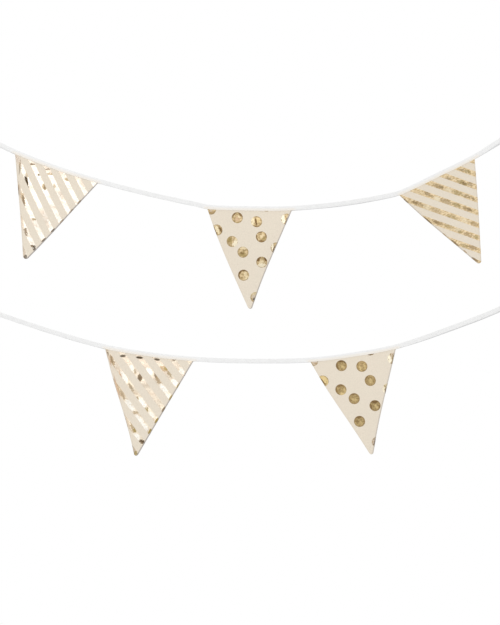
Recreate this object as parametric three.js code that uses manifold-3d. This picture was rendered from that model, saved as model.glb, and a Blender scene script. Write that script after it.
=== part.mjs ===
// Cotton pennant bunting hung in two swags: five printed flags held in one long folded binding tape.
// Units are millimetres, +Z is up, +X runs along the swags and the viewer stands on the -Y side.
// The origin is where the upper end loop hangs, inside the eye of the loop.
import * as THREE from 'three';
import { mergeVertices } from 'three/addons/utils/BufferGeometryUtils.js';
import Module from 'manifold-3d';

// Binding tape: a bias strip folded in half lengthwise over the heads of the flags
const TAPE_HALF_HEIGHT = 4.5;
const TAPE_THICKNESS = 3;
const FOLD_ROUNDING = 0.9;
const LEAF_PARTING = 0.3;
// It is pieced from three lengths, end to end, and each join is this far round the turn from a right_edge row
const JOIN_PAST_EDGE = 40;

// Flags: two cut triangles seamed, turned out and pressed flat, so each is one thin envelope
const FLAG_THICKNESS = 1.2;
const TUCK = 1.2;
const TIP_HALF_WIDTH = 4;
const GAP = 0.3;

// End loops: the tape's end is turned back on itself and caught down
const LOOP_STRIP = 1.2;

// Hanging points at the right, where the tape lies flat over a peg and drops to the lower swag
const PEG_RADIUS = 10;
const PEG_X = 1113;
const UPPER_PEG_Z = 8.5;
const LOWER_PEG_Z = -306.7;

// How finely the tape and the flags are faceted; a flag has a column of facets for each step of the tape over it
const TAPE_STEP = 15;
const FLAG_ROWS = 15;

const COLOURS = { cloth: 0xe6dbca, tape: 0xededed };

// The tape's route, one row for each point that it passes.
// lean tips the tape's folded edge back from upright, in degrees, and so swings a flag's tip forward.
// near and far are how much deeper than the other leaf hangs the one on the route's left and right hand.
const upperSwag = [
  { at: 'upper_end', x: 17.6, y: 1.95, z: -9.3, lean: 0, near: 0, far: 0.6 },
  { at: 'upper_view_edge', x: 48, y: 5, z: -25.2, lean: 6, near: 0, far: 0.6 },
  { at: 'flag_1_left', x: 80, y: 8, z: -40.2, lean: 10, near: 0, far: 0.6 },
  { at: 'flag_1_middle', x: 162, y: 0, z: -72.2, lean: 10, near: 0, far: 0.6 },
  { at: 'flag_1_right', x: 243, y: -8, z: -97.6, lean: 10, near: 0, far: 0.6 },
  { at: 'first_gap', x: 348, y: -6, z: -124.8, lean: 5, near: 0, far: 0.6 },
  { at: 'first_gap_end', x: 438, y: -1, z: -144, lean: 3, near: 0, far: 0.6 },
  { at: 'flag_2_left', x: 464, y: 0, z: -149.6, lean: 2, near: 0, far: 0.6 },
  { at: 'flag_2_middle', x: 548, y: 1, z: -152.8, lean: 2, near: 0, far: 0.6 },
  { at: 'flag_2_right', x: 630, y: 0, z: -152.4, lean: 2, near: 0, far: 0.6 },
  { at: 'second_gap', x: 738, y: -3, z: -141.6, lean: -2, near: 0, far: 0.8 },
  { at: 'second_gap_end', x: 828, y: -3, z: -126, lean: -5, near: 0, far: 0.8 },
  { at: 'flag_3_left', x: 850, y: -3, z: -120.4, lean: -6, near: 0, far: 0.6 },
  { at: 'flag_3_middle', x: 924, y: 0, z: -85.2, lean: -6, near: 0, far: 0.6 },
  { at: 'flag_3_right', x: 998, y: 3, z: -48.4, lean: -6, near: 0, far: 0.8 },
  { at: 'upper_right_edge', x: 1048, y: 3, z: -17.8, lean: 0, near: 0, far: 3 },
];
const drop = [
  { at: 'drop_top', x: 1124, y: 0, z: -50, lean: 86, near: 0, far: 0 },
  { at: 'drop_middle', x: 1127, y: 5, z: -150, lean: 66, near: 0, far: 0 },
  { at: 'drop_foot', x: 1125, y: 1, z: -255, lean: 84, near: 0, far: 0 },
];
const lowerSwag = [
  { at: 'lower_right_edge', x: 1048, y: 0, z: -352.6, lean: 0, near: 3, far: 0 },
  { at: 'lower_right_run', x: 948, y: -2, z: -392.2, lean: 0, near: 2.4, far: 0 },
  { at: 'flag_5_right', x: 838.8, y: -3, z: -429.4, lean: 2, near: 0.6, far: 0 },
  { at: 'flag_5_middle', x: 754.8, y: -1, z: -445, lean: 2, near: 0.6, far: 0 },
  { at: 'flag_5_left', x: 670.8, y: 1, z: -455.4, lean: 2, near: 0.6, far: 0 },
  { at: 'third_gap', x: 552, y: -3, z: -458, lean: 4, near: 0.6, far: 0 },
  { at: 'flag_4_right', x: 433.4, y: -8, z: -453.6, lean: 6, near: 0.6, far: 0 },
  { at: 'flag_4_middle', x: 347, y: 0, z: -444.6, lean: 6, near: 0.6, far: 0 },
  { at: 'flag_4_left', x: 260.6, y: 8, z: -430, lean: 6, near: 0.6, far: 0 },
  { at: 'fourth_gap', x: 156, y: 6, z: -401, lean: 4, near: 0.6, far: 0 },
  { at: 'lower_view_edge', x: 48, y: 2, z: -365, lean: 0, near: 0.6, far: 0 },
  { at: 'lower_end', x: 18.8, y: 1.2, z: -354.4, lean: 0, near: 0.6, far: 0 },
];

// Flags in the order that they were sewn in. from and to are rows of the route, fall is the depth from the
// tape's middle to the tip, and hang turns the tip towards -X in degrees from plumb.
// left and right are the seamed edges as the viewer sees them: how far each starts outside its row at the tape,
// and how much it bows and waves on its way to the tip.
// belly, sway, curl and folds are the way the cloth stands out towards the viewer.
const flags = [
  {
    name: 'striped_flag_upper_left', from: 'flag_1_left', to: 'flag_1_right', fall: 194.8, hang: 17.5,
    left: { spread: 1, bow: -0.8, wave: 0.6 }, right: { spread: 3, bow: 0.8, wave: -0.6 },
    belly: 4, sway: -3, curl: 3,
    folds: [
      { fromAlong: -70, fromDown: 20, toAlong: -22, toDown: 150, width: 13, rise: -3 },
      { fromAlong: 10, fromDown: 20, toAlong: 2, toDown: 120, width: 18, rise: 2 },
    ],
  },
  {
    name: 'spotted_flag_upper_middle', from: 'flag_2_left', to: 'flag_2_right', fall: 201, hang: -0.3,
    left: { spread: 2.6, bow: 2.6, wave: 0.4 }, right: { spread: 2.8, bow: -2, wave: 0.6 },
    belly: 5, sway: 2, curl: -3,
    folds: [
      { fromAlong: -30, fromDown: 22, toAlong: -8, toDown: 150, width: 16, rise: -2.2 },
      { fromAlong: 44, fromDown: 22, toAlong: 18, toDown: 130, width: 14, rise: 1.8 },
    ],
  },
  {
    name: 'striped_flag_upper_right', from: 'flag_3_left', to: 'flag_3_right', fall: 197.8, hang: -25.4,
    left: { spread: 6, bow: 1.4, wave: 0.4 }, right: { spread: -1, bow: 0, wave: 0 },
    belly: -3, sway: 3, curl: 2,
    folds: [
      { fromAlong: -42, fromDown: 24, toAlong: -6, toDown: 130, width: 16, rise: 2 },
      { fromAlong: 30, fromDown: 24, toAlong: 16, toDown: 140, width: 14, rise: -1.8 },
    ],
  },
  {
    name: 'spotted_flag_lower_right', from: 'flag_5_right', to: 'flag_5_left', fall: 202.7, hang: -10.2,
    left: { spread: 2.6, bow: 1, wave: 1 }, right: { spread: 1.2, bow: -1.4, wave: 0.6 },
    belly: 3, sway: -2, curl: -2,
    folds: [
      { fromAlong: -36, fromDown: 24, toAlong: -10, toDown: 150, width: 16, rise: -1.8 },
      { fromAlong: 34, fromDown: 24, toAlong: 14, toDown: 140, width: 15, rise: 1.6 },
    ],
  },
  {
    name: 'striped_flag_lower_left', from: 'flag_4_right', to: 'flag_4_left', fall: 204.9, hang: 7,
    left: { spread: 1.8, bow: -1.2, wave: 1.6 }, right: { spread: 3.2, bow: 0.4, wave: 0 },
    belly: 4, sway: -2, curl: 4,
    folds: [
      { fromAlong: -66, fromDown: 22, toAlong: -20, toDown: 150, width: 13, rise: -3 },
      { fromAlong: 40, fromDown: 30, toAlong: -30, toDown: 74, width: 13, rise: 2 },
    ],
  },
];
// Down to here the tape holds the cloth flat, and a fold is full this much further down
const CLOTH_FREE = 6;
const CLOTH_EASE = 20;

// Eye of an end loop, a row for each bend: out is the way past the tape's end, back is behind the tape
const loopBends = [
  { out: 0.3, back: -0.75 },
  { out: 5, back: -1.7 },
  { out: 10, back: -3.6 },
  { out: 15, back: -4 },
  { out: 18.6, back: -2.8 },
  { out: 20.6, back: -0.9 },
  { out: 20.6, back: 1.1 },
  { out: 18.6, back: 3.6 },
  { out: 14, back: 5 },
  { out: 8, back: 4.6 },
  { out: 3, back: 3.2 },
  { out: -1, back: 2.4 },
  { out: -14, back: 2.4 },
];

const radians = THREE.MathUtils.degToRad;
const lerp = THREE.MathUtils.lerp;
const smooth = THREE.MathUtils.smoothstep;

// Rows for the quarter or so of a turn that the tape makes round a peg, heading clockwise seen from the front
function pegTurn(name, centreZ, fromAngle, toAngle) {
  const steps = Math.round(Math.abs(fromAngle - toAngle) / 20);
  const rows = [];
  for (let i = 0; i <= steps; i++) {
    const angle = radians(lerp(fromAngle, toAngle, i / steps));
    rows.push({
      at: `${name}_${i}`,
      x: PEG_X + PEG_RADIUS * Math.cos(angle),
      y: 0,
      z: centreZ + PEG_RADIUS * Math.sin(angle),
      lean: 90,
      near: 0,
      far: 0,
    });
  }
  return rows;
}

const route = [
  ...upperSwag,
  ...pegTurn('upper_peg', UPPER_PEG_Z, 120, 0),
  ...drop,
  ...pegTurn('lower_peg', LOWER_PEG_Z, 0, -60),
  ...lowerSwag,
];

// Stations along the tape: each has its place, its distance from the start, and the three directions of the tape
// there. along follows the route, width points to the folded edge and normal out of the left-hand leaf.
function layTape(rows) {
  const curve = new THREE.CatmullRomCurve3(
    rows.map((row) => new THREE.Vector3(row.x, row.y, row.z)), false, 'centripetal');
  const stations = [];
  const spans = rows.length - 1;
  let length = 0;
  for (let i = 0; i < spans; i++) {
    const reach = curve.points[i].distanceTo(curve.points[i + 1]);
    const steps = Math.max(1, Math.round(reach / TAPE_STEP));
    for (let j = 0; j < steps || (i === spans - 1 && j === steps); j++) {
      const share = j / steps;
      const place = curve.getPoint((i + share) / spans);
      const along = curve.getTangent((i + share) / spans);
      const eased = smooth(share, 0, 1);
      const lean = radians(lerp(rows[i].lean, rows[i + 1].lean, eased));
      const width = new THREE.Vector3(0, Math.sin(lean), Math.cos(lean));
      width.addScaledVector(along, -width.dot(along)).normalize();
      if (stations.length) length += place.distanceTo(stations.at(-1).place);
      stations.push({
        row: j === 0 ? rows[i].at : null,
        at: length,
        place,
        along,
        width,
        normal: along.clone().cross(width),
        near: lerp(rows[i].near, rows[i + 1].near, eased),
        far: lerp(rows[i].far, rows[i + 1].far, eased),
      });
    }
  }
  return stations;
}

const stations = layTape(route);
const distanceTo = (row) => stations.find((station) => station.row === row).at;

// The station at any distance along the tape, on the straight line between its two neighbours
function stationAt(distance) {
  const last = stations.length - 1;
  let i = stations.findIndex((station) => station.at > distance) - 1;
  if (i < 0) i = distance <= 0 ? 0 : last - 1;
  const [a, b] = [stations[i], stations[i + 1]];
  const share = (distance - a.at) / (b.at - a.at);
  const between = (key) => a[key].clone().lerp(b[key], share);
  return {
    at: distance,
    place: between('place'),
    along: between('along').normalize(),
    width: between('width').normalize(),
    normal: between('normal').normalize(),
    near: lerp(a.near, b.near, share),
    far: lerp(a.far, b.far, share),
  };
}

// A closed body through sections that have the same number of points, with flat ends
function loft(sections) {
  const count = sections[0].points.length;
  const positions = sections.flatMap((section) => section.points.flatMap((p) => p.toArray()));
  const faces = [];
  for (let i = 0; i + 1 < sections.length; i++) {
    for (let j = 0; j < count; j++) {
      const k = (j + 1) % count;
      const [a, b, c, d] = [i * count + j, i * count + k, (i + 1) * count + k, (i + 1) * count + j];
      faces.push(a, b, c, a, c, d);
    }
  }
  const outline = sections[0].outline;
  const cap = THREE.ShapeUtils.triangulateShape(outline, []);
  const lastStart = (sections.length - 1) * count;
  for (const [a, b, c] of cap) {
    faces.push(a, b, c, lastStart + a, lastStart + c, lastStart + b);
  }
  const body = new THREE.BufferGeometry();
  body.setAttribute('position', new THREE.Float32BufferAttribute(positions, 3));
  body.setIndex(faces);
  return body;
}

// Section of the tape at a station, as points of (normal, width), anticlockwise seen against the route
function crossSection(station, outline) {
  const points = outline.map(([out, up]) => station.place.clone()
    .addScaledVector(station.normal, out)
    .addScaledVector(station.width, up));
  return { points, outline: outline.map(([out, up]) => new THREE.Vector2(out, up)) };
}

function tapeOutline(station) {
  const side = TAPE_THICKNESS / 2;
  const top = TAPE_HALF_HEIGHT;
  const shoulder = top - FOLD_ROUNDING;
  const nearFoot = -top - station.near;
  const farFoot = -top - station.far;
  const parting = LEAF_PARTING / 2;
  return [
    [-side, farFoot], [-side, shoulder], [-side + FOLD_ROUNDING, top],
    [side - FOLD_ROUNDING, top], [side, shoulder], [side, nearFoot],
    [parting, nearFoot], [-parting, farFoot],
  ];
}

// manifold-3d joins and cuts closed meshes
const wasm = await Module();
wasm.setup();

function toSolid(geometry) {
  const bare = geometry.clone();
  bare.deleteAttribute('normal');
  bare.deleteAttribute('uv');
  const merged = mergeVertices(bare, 1e-4);
  return new wasm.Manifold(new wasm.Mesh({
    numProp: 3,
    vertProperties: new Float32Array(merged.attributes.position.array),
    triVerts: new Uint32Array(merged.index.array),
  }));
}

function toGeometry(solid) {
  const mesh = solid.getMesh();
  const geometry = new THREE.BufferGeometry();
  geometry.setAttribute('position', new THREE.Float32BufferAttribute(mesh.vertProperties, 3));
  geometry.setIndex([...mesh.triVerts]);
  return geometry;
}

// A flag's own measures: where it sits along the tape, its half width at the tape's edge and the way it hangs
function measureFlag(flag) {
  const [start, end] = [distanceTo(flag.from), distanceTo(flag.to)];
  const middle = stationAt((start + end) / 2);
  const facing = middle.along.x > 0 ? 1 : -1;
  const front = middle.normal.clone().multiplyScalar(facing);
  const plumb = new THREE.Vector3(-Math.sin(radians(flag.hang)), 0, -Math.cos(radians(flag.hang)));
  const down = plumb.addScaledVector(front, -plumb.dot(front)).normalize();
  return { ...flag, middle: middle.at, half: (end - start) / 2, facing, front, down };
}

// A flag's head as distances along the tape from its left corner to its right, with the tape's steps between
function headSteps(flag) {
  const [left, right] = [-1, 1].map((side) => flag.middle + flag.facing * edgeAt(flag, side, -TUCK));
  const [start, end] = [Math.min(left, right), Math.max(left, right)];
  const inside = stations.map((station) => station.at).filter((at) => at > start + GAP && at < end - GAP);
  if (flag.facing < 0) inside.reverse();
  return [left, ...inside, right];
}

// Where a seamed edge runs at a depth below the tape's middle; side is -1 on the viewer's left and 1 on the right
function edgeAt(flag, side, depth) {
  const edge = side < 0 ? flag.left : flag.right;
  const share = (depth - TAPE_HALF_HEIGHT) / (flag.fall - TAPE_HALF_HEIGHT);
  const straight = lerp(flag.half + edge.spread, TIP_HALF_WIDTH, share);
  if (share <= 0) return side * straight;
  return side * (straight + edge.bow * 4 * share * (1 - share) + edge.wave * Math.sin(2 * Math.PI * share));
}

// How far the cloth stands out towards the viewer; along runs to the viewer's right
function relief(flag, along, depth) {
  const share = Math.max(0, depth / flag.fall);
  const across = along / flag.half;
  const freedom = smooth(depth, CLOTH_FREE, CLOTH_FREE + CLOTH_EASE);
  let rise = flag.belly * Math.sin(Math.PI * share) * (1 - across * across);
  rise += flag.sway * across * share * 2;
  rise += flag.curl * share * share;
  for (const fold of flag.folds) {
    const runAlong = fold.toAlong - fold.fromAlong;
    const runDown = fold.toDown - fold.fromDown;
    const reach = Math.hypot(runAlong, runDown);
    const offAlong = along - fold.fromAlong;
    const offDown = depth - fold.fromDown;
    const travel = (offAlong * runAlong + offDown * runDown) / (reach * reach);
    const aside = (offAlong * runDown - offDown * runAlong) / reach;
    const ends = smooth(travel, -0.15, 0.3) * (1 - smooth(travel, 0.75, 1.15));
    rise += fold.rise * ends * Math.exp(-((aside / fold.width) ** 2));
  }
  return rise * freedom;
}

function flagPoint(flag, along, depth, layer) {
  const head = stationAt(flag.middle + along * flag.facing);
  const lead = flag.down.clone().addScaledVector(head.normal, -flag.down.dot(head.normal)).normalize();
  const held = Math.min(depth, CLOTH_FREE);
  return head.place.clone()
    .addScaledVector(lead, held)
    .addScaledVector(flag.down, depth - held)
    .addScaledVector(flag.front, relief(flag, along, depth))
    .addScaledVector(head.normal, layer * flag.facing * FLAG_THICKNESS / 2);
}

// One flag: a front and a back sheet of cloth on the same folds, closed round the rim
function makeFlag(flag) {
  const steps = headSteps(flag);
  const columns = steps.length - 1;
  const shares = steps.map((at) => (at - steps[0]) / (steps[columns] - steps[0]));
  const rowLength = steps.length;
  const layerLength = rowLength * (FLAG_ROWS + 1);
  const positions = [];
  for (const layer of [1, -1]) {
    for (let i = 0; i <= FLAG_ROWS; i++) {
      const depth = lerp(-TUCK, flag.fall, i / FLAG_ROWS);
      for (const share of shares) {
        const along = lerp(edgeAt(flag, -1, depth), edgeAt(flag, 1, depth), share);
        positions.push(...flagPoint(flag, along, depth, layer).toArray());
      }
    }
  }
  const faces = [];
  const quad = (a, b, c, d) => faces.push(a, b, c, a, c, d);
  for (let i = 0; i < FLAG_ROWS; i++) {
    for (let j = 0; j < columns; j++) {
      const a = i * rowLength + j;
      quad(a, a + rowLength, a + rowLength + 1, a + 1);
      quad(layerLength + a, layerLength + a + 1, layerLength + a + rowLength + 1, layerLength + a + rowLength);
    }
  }
  const rim = [];
  for (let j = 0; j < columns; j++) rim.push(j);
  for (let i = 0; i < FLAG_ROWS; i++) rim.push(i * rowLength + columns);
  for (let j = columns; j > 0; j--) rim.push(FLAG_ROWS * rowLength + j);
  for (let i = FLAG_ROWS; i > 0; i--) rim.push(i * rowLength);
  rim.forEach((a, i) => {
    const b = rim[(i + 1) % rim.length];
    quad(a, b, layerLength + b, layerLength + a);
  });
  const cloth = new THREE.BufferGeometry();
  cloth.setAttribute('position', new THREE.Float32BufferAttribute(positions, 3));
  cloth.setIndex(faces);
  return cloth;
}

// The slot between the two leaves of the tape that a flag's head lies in
function makeSlot(flag) {
  const steps = headSteps(flag).sort((a, b) => a - b);
  steps[0] -= GAP;
  steps[steps.length - 1] += GAP;
  const side = FLAG_THICKNESS / 2 + GAP;
  const top = TUCK + GAP;
  const foot = -3 * TAPE_HALF_HEIGHT;
  const outline = [[-side, foot], [-side, top], [side, top], [side, foot]];
  return loft(steps.map((at) => crossSection(stationAt(at), outline)));
}

function makeTape(from, to, slots) {
  const inside = stations.filter((station) => station.at > from + GAP && station.at < to - GAP);
  const sections = [stationAt(from), ...inside, stationAt(to)];
  let tape = toSolid(loft(sections.map((station) => crossSection(station, tapeOutline(station)))));
  for (const slot of slots) tape = tape.subtract(toSolid(slot));
  return toGeometry(tape);
}

// The turned-back end of the tape: a bent strip, as high as the tape
function makeLoop() {
  const bends = loopBends.map(({ out, back }) => new THREE.Vector2(out, -back));
  const sides = bends.map((bend, i) => {
    const before = bends[Math.max(i - 1, 0)];
    const after = bends[Math.min(i + 1, bends.length - 1)];
    const run = after.clone().sub(before).normalize();
    return new THREE.Vector2(-run.y, run.x).multiplyScalar(LOOP_STRIP / 2);
  });
  const outer = bends.map((bend, i) => bend.clone().sub(sides[i]));
  const inner = bends.map((bend, i) => bend.clone().add(sides[i]));
  const shape = new THREE.Shape([...outer, ...inner.reverse()]);
  const strip = new THREE.ExtrudeGeometry(shape, { depth: 2 * TAPE_HALF_HEIGHT, bevelEnabled: false });
  return strip.translate(0, 0, -TAPE_HALF_HEIGHT);
}

// Sets a loop at an end of the tape: its x runs out past the end, its y forward and its z to the folded edge
function placeLoop(mesh, station, outward) {
  const out = station.along.clone().multiplyScalar(outward);
  const up = station.width.clone();
  const forward = up.clone().cross(out);
  mesh.quaternion.setFromRotationMatrix(new THREE.Matrix4().makeBasis(out, forward, up));
  mesh.position.copy(station.place);
}

function addPiece(group, name, geometry, material) {
  geometry.computeVertexNormals();
  const mesh = new THREE.Mesh(geometry, material);
  mesh.name = name;
  group.add(mesh);
  return mesh;
}

const cloth = new THREE.MeshStandardMaterial({ color: COLOURS.cloth, roughness: 0.85, metalness: 0 });
const cotton = new THREE.MeshStandardMaterial({ color: COLOURS.tape, roughness: 0.8, metalness: 0 });

const bunting = new THREE.Group();
const sewn = flags.map(measureFlag);
const slots = sewn.map(makeSlot);
const upperJoin = distanceTo('upper_right_edge') + JOIN_PAST_EDGE;
const lowerJoin = distanceTo('lower_right_edge') - JOIN_PAST_EDGE;
addPiece(bunting, 'binding_upper', makeTape(0, upperJoin, slots), cotton);
addPiece(bunting, 'binding_turn', makeTape(upperJoin + GAP, lowerJoin - GAP, []), cotton);
addPiece(bunting, 'binding_lower', makeTape(lowerJoin, stations.at(-1).at, slots), cotton);
for (const flag of sewn) addPiece(bunting, flag.name, makeFlag(flag), cloth);
placeLoop(addPiece(bunting, 'end_loop_upper', makeLoop(), cotton), stations[0], -1);
placeLoop(addPiece(bunting, 'end_loop_lower', makeLoop(), cotton), stations.at(-1), 1);

export default bunting;
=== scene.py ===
# Cotton pennant bunting hung in two swags: the looks of its cloth, its gold print and its binding.
# Metres, +Z is up, +X runs along the swags and the viewer stands on the -Y side.
import math

import bmesh
import bpy
import numpy as np
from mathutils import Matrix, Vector, noise


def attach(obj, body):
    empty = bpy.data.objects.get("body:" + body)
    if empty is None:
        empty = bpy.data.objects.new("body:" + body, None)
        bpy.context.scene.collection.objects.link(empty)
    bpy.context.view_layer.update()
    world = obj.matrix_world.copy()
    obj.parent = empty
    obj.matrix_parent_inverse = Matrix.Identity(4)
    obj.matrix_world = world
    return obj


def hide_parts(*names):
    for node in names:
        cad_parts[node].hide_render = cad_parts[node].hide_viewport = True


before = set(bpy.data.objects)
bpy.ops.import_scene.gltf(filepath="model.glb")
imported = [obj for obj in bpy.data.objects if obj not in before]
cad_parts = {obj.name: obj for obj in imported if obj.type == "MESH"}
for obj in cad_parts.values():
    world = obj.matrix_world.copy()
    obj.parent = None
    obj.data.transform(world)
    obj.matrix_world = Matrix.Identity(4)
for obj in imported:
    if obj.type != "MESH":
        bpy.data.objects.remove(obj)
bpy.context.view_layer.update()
scene = bpy.context.scene

# Camera
# Square on to the bunting, with a long lens. Both swags fill the width of an upright picture,
# which is 1.25 m high where the bunting hangs.
camera_distance = 7.0
picture_height = 1.25
sensor_size = 36
camera_place = (0.548, -camera_distance, -0.361)
bpy.ops.object.camera_add(location=camera_place, rotation=(math.pi / 2, 0, 0))
camera = bpy.context.object
camera.data.sensor_width = sensor_size
camera.data.lens = sensor_size * camera_distance / picture_height
camera.data.clip_end = 60
scene.camera = camera
scene.view_settings.view_transform = "Standard"
scene.view_settings.look = "None"

# Binding tape
# An 18 mm bias strip of white cotton, folded in half over the heads of the flags and sewn down
# close to its open edge. Each end is turned back on itself as a hanging loop, and at the right
# the strip runs on over two pegs, from the upper swag to the lower one.
MM = 0.001
half_tape = 4.5  # half the folded tape's height, in millimetres
half_height = half_tape * MM
peg_radius = 10 * MM
peg_x = 1113 * MM
upper_peg_z = 8.5 * MM
lower_peg_z = -306.7 * MM
peg_row_angle = 20
tape_step = 5 * MM
loop_step = 1.2 * MM
head_play = 3 * MM  # the fold stays open this far past a flag's head
head_closing = 9 * MM  # and closes over this length
loop_reach = 9 * MM  # a loop takes over from the tape this far from its end
edge_wander = 0.3 * MM  # how unevenly the open edges run

# A row for each point that the tape passes: name, x, y, z, lean in degrees, and how much deeper
# than the other leaf hangs the one on the route's right hand, below 0 the one on its left hand.
upper_swag = [
    ("upper_end", 0.0176, 0.00195, -0.0093, 0, 0.0006),
    ("upper_view_edge", 0.048, 0.005, -0.0252, 6, 0.0006),
    ("flag_1_left", 0.080, 0.008, -0.0402, 10, 0.0006),
    ("flag_1_middle", 0.162, 0, -0.0722, 10, 0.0006),
    ("flag_1_right", 0.243, -0.008, -0.0976, 10, 0.0004),
    ("first_gap", 0.348, -0.006, -0.1248, 5, 0.0002),
    ("first_gap_end", 0.438, -0.001, -0.144, 3, 0.0002),
    ("flag_2_left", 0.464, 0, -0.1496, 2, 0.0006),
    ("flag_2_middle", 0.548, 0.001, -0.1528, 2, 0.0006),
    ("flag_2_right", 0.630, 0, -0.1524, 2, 0.0006),
    ("second_gap", 0.738, -0.003, -0.1423, -2, 0.0012),
    ("second_gap_end", 0.828, -0.003, -0.1264, -5, 0.001),
    ("flag_3_left", 0.850, -0.003, -0.1204, -6, 0.0006),
    ("flag_3_middle", 0.924, 0, -0.0852, -6, 0.0006),
    ("flag_3_right", 0.998, 0.003, -0.0484, -6, 0.0008),
    ("upper_right_edge", 1.048, 0.003, -0.0169, 0, 0.0028),
]
drop = [
    ("drop_top", 1.124, 0, -0.050, 86, 0),
    ("drop_middle", 1.127, 0.005, -0.150, 66, 0),
    ("drop_foot", 1.125, 0.001, -0.255, 84, 0),
]
lower_swag = [
    ("lower_right_edge", 1.048, 0, -0.353, 0, -0.0022),
    ("lower_right_run", 0.948, -0.002, -0.3926, 0, -0.0017),
    ("flag_5_right", 0.8388, -0.003, -0.4294, 2, -0.0006),
    ("flag_5_middle", 0.7548, -0.001, -0.445, 2, -0.0006),
    ("flag_5_left", 0.6708, 0.001, -0.4554, 2, -0.0006),
    ("third_gap", 0.552, -0.003, -0.458, 4, -0.0002),
    ("flag_4_right", 0.4334, -0.008, -0.4536, 6, -0.0004),
    ("flag_4_middle", 0.347, 0, -0.4446, 6, -0.0006),
    ("flag_4_left", 0.2606, 0.008, -0.430, 6, -0.0006),
    ("fourth_gap", 0.156, 0.006, -0.401, 4, -0.0002),
    ("lower_view_edge", 0.048, 0.002, -0.365, 0, -0.0002),
    ("lower_end", 0.0188, 0.0012, -0.3544, 0, -0.0006),
]
# The rows between which each flag's head lies in the fold
heads = {
    "striped_flag_upper_left": ("flag_1_left", "flag_1_right"),
    "spotted_flag_upper_middle": ("flag_2_left", "flag_2_right"),
    "striped_flag_upper_right": ("flag_3_left", "flag_3_right"),
    "spotted_flag_lower_right": ("flag_5_right", "flag_5_left"),
    "striped_flag_lower_left": ("flag_4_right", "flag_4_left"),
}
# The eye of an end loop in millimetres, from the sewn-down tail round to the tape: out past the
# tape's end, and back behind it
loop_bends = [
    (-14, 1.25), (-9, 1.25), (-4, 1.3), (0.5, 1.9), (3, 2.9), (8, 4.5), (14, 5), (18.6, 3.6),
    (20.6, 1.1), (20.6, -0.9), (18.6, -2.8), (15, -4), (10, -3.6), (5, -2), (0.3, -0.7),
    (-6, -0.1),
]


def peg_rows(name, centre_z, first, last):
    """Rows for the part of a turn that the tape makes round a peg, lying flat on it."""
    steps = round(abs(first - last) / peg_row_angle)
    rows = []
    for i in range(steps + 1):
        angle = math.radians(first + (last - first) * i / steps)
        x = peg_x + peg_radius * math.cos(angle)
        z = centre_z + peg_radius * math.sin(angle)
        rows.append((f"{name}_{i}", x, 0, z, 90, 0))
    return rows


def ease(value, low, high):
    """0 at low, 1 at high, and a soft curve between them."""
    share = np.clip((value - low) / (high - low), 0, 1)
    return share * share * (3 - 2 * share)


def unit(vectors):
    return vectors / np.linalg.norm(vectors, axis=-1, keepdims=True)


def smooth_line(points, step):
    """Span, share, place and heading of each step on a smooth curve through the points."""
    padded = np.vstack([2 * points[0] - points[1], points, 2 * points[-1] - points[-2]])
    laid = []
    for i in range(len(points) - 1):
        p0, p1, p2, p3 = padded[i : i + 4]
        pairs = ((p0, p1), (p1, p2), (p2, p3))
        t0, t1, t2 = (math.sqrt(np.linalg.norm(b - a)) for a, b in pairs)
        start = t1 * ((p1 - p0) / t0 - (p2 - p0) / (t0 + t1) + (p2 - p1) / t1)
        end = t1 * ((p2 - p1) / t1 - (p3 - p1) / (t1 + t2) + (p3 - p2) / t2)
        bend = 3 * (p2 - p1) - 2 * start - end
        twist = 2 * (p1 - p2) + start + end
        steps = max(1, round(np.linalg.norm(p2 - p1) / step))
        for j in range(steps + (i == len(points) - 2)):
            s = j / steps
            place = p1 + s * (start + s * (bend + s * twist))
            heading = start + s * (2 * bend + s * 3 * twist)
            laid.append((i, s, place, heading))
    spans, shares, places, headings = zip(*laid)
    return np.array(spans), np.array(shares), np.array(places), unit(np.array(headings))


def lay_tape(rows):
    """The tape's stations, close together along it, and how far along it each named row is."""
    points = np.array([row[1:4] for row in rows])
    spans, shares, places, along = smooth_line(points, tape_step)
    eased = ease(shares, 0, 1)[:, None]
    settings = np.array([row[4:] for row in rows])
    lean, lag = (settings[spans] + (settings[spans + 1] - settings[spans]) * eased).T
    lean = np.radians(lean)
    width = np.stack([0 * lean, np.sin(lean), np.cos(lean)], 1)
    width = unit(width - along * (along * width).sum(1, keepdims=True))
    reach = np.linalg.norm(np.diff(places, axis=0), axis=1)
    at = np.concatenate([[0], np.cumsum(reach)])
    named = {row[0]: at[np.argmax((spans == i) & (shares == 0))] for i, row in enumerate(rows)}
    named[rows[-1][0]] = at[-1]
    stations = {"at": at, "place": places, "along": along, "width": width}
    stations["normal"] = np.cross(along, width)
    stations["near"], stations["far"] = np.maximum(0, -lag), np.maximum(0, lag)
    return stations, named


route = [*upper_swag, *peg_rows("upper_peg", upper_peg_z, 120, 0), *drop]
route += [*peg_rows("lower_peg", lower_peg_z, 0, -60), *lower_swag]
tape, row_at = lay_tape(route)
# How far the leaves are parted by a flag's head, from 0 between the flags to 1 over them
tape["fill"] = np.zeros(len(tape["at"]))
for first, last in heads.values():
    start, end = row_at[first] - head_play, row_at[last] + head_play
    opening = ease(tape["at"], start - head_closing, start)
    closing = ease(tape["at"], end, end + head_closing)
    tape["fill"] = np.maximum(tape["fill"], opening * (1 - closing))


def turn_back(end, outward):
    """Stations of the loop at an end of the tape, from the loop's tail to the tape."""
    out, up = tape["along"][end] * outward, tape["width"][end]
    forward = np.cross(up, out)
    bends = np.array([(x, -y, 0) for x, y in loop_bends]) * MM
    _, _, flat, heading = smooth_line(bends, loop_step)
    basis = np.stack([out, forward, up])
    along = heading @ basis
    width = np.repeat(up[None], len(flat), 0)
    return {
        "place": tape["place"][end] + flat @ basis,
        "along": along,
        "width": width,
        "normal": np.cross(along, width),
        **dict.fromkeys(("near", "far", "fill"), np.zeros(len(flat))),
    }


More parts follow.
